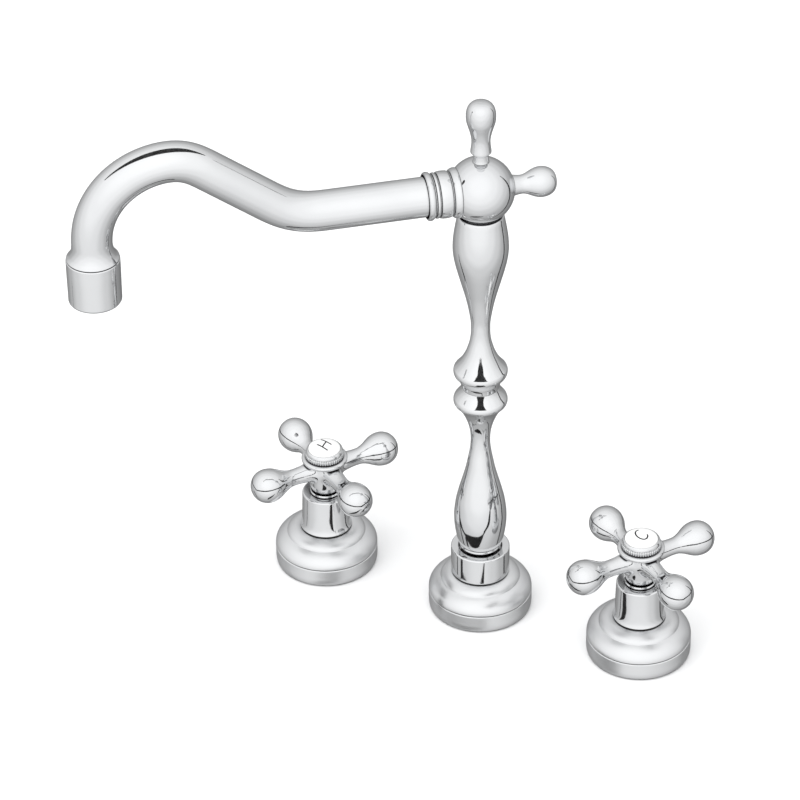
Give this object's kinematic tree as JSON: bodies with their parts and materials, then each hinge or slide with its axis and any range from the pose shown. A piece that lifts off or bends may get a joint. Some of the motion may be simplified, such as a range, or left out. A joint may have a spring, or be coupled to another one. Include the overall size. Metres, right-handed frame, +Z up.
{
  "type": "three-hole basin mixer",
  "caption": "Polished three-hole basin mixer with cross-handle side valves, a turned column and an arched swivel spout.",
  "frame": {"origin": "on the spout's swivel axis, at the top of the deck", "axes": "+Z up; +X along the line of deck holes from the hot valve to the cold valve; -Y is the user's side, straight ahead of the spout"},
  "size_m": [0.3248, 0.1933, 0.4352],
  "materials": {
    "chrome": "polished chrome plate on brass",
    "brass": "bare machined brass",
    "copper": null,
    "steel": "stainless steel",
    "rubber": "black moulded rubber",
    "ceramic_disc": "lapped alumina",
    "porcelain": "glossy white glaze",
    "nylon": "natural acetal"
  },
  "bodies": {
    "deck_fixed": {"hot_base_ring": "chrome", "hot_flange": "chrome", "hot_shroud": "chrome", "hot_bonnet": "chrome", "hot_valve_body": "brass", "hot_cartridge": "brass", "hot_seat_seal": "rubber", "hot_fixed_disc": "ceramic_disc", "cold_base_ring": "chrome", "cold_flange": "chrome", "cold_shroud": "chrome", "cold_bonnet": "chrome", "cold_valve_body": "brass", "cold_cartridge": "brass", "cold_seat_seal": "rubber", "cold_fixed_disc": "ceramic_disc", "spout_base_ring": "chrome", "spout_flange": "chrome", "spout_collar": "chrome", "spout_shank": "brass", "tee": "brass", "hot_crossover": "copper", "cold_crossover": "copper", "compression_nuts": "brass", "mounting_nuts": "brass", "steel_washers": "steel", "rubber_washers": "rubber", "deck_gaskets": "rubber"},
    "spout": {"spigot": "chrome", "spigot_orings": "rubber", "swivel_clip": "nylon", "lower_column": "chrome", "column_nipple": "brass", "upper_column": "chrome", "ball_body": "chrome", "top_finial": "chrome", "rear_finial": "chrome", "coupling": "chrome", "spout_tube": "chrome", "aerator_shell": "chrome", "aerator_insert": "nylon", "aerator_washer": "rubber"},
    "hot_knob": {"hot_moving_disc": "ceramic_disc", "hot_stem": "brass", "hot_stem_oring": "rubber", "hot_handle": "chrome", "hot_screw": "steel", "hot_bezel": "chrome", "hot_button": "porcelain"},
    "cold_knob": {"cold_moving_disc": "ceramic_disc", "cold_stem": "brass", "cold_stem_oring": "rubber", "cold_handle": "chrome", "cold_screw": "steel", "cold_bezel": "chrome", "cold_button": "porcelain"}
  },
  "joints": [
    {"name": "spout_swivel", "type": "hinge", "parent": "deck_fixed", "child": "spout", "pos_m": [0, 0, 0.035], "axis": [0, 0, 1], "continuous": true},
    {"name": "hot_turn", "type": "hinge", "parent": "deck_fixed", "child": "hot_knob", "pos_m": [-0.1016, 0, 0.0663], "axis": [0, 0, 1], "range_deg": [0, 90]},
    {"name": "cold_turn", "type": "hinge", "parent": "deck_fixed", "child": "cold_knob", "pos_m": [0.1016, 0, 0.0663], "axis": [0, 0, 1], "range_deg": [-90, 0]}
  ]
}
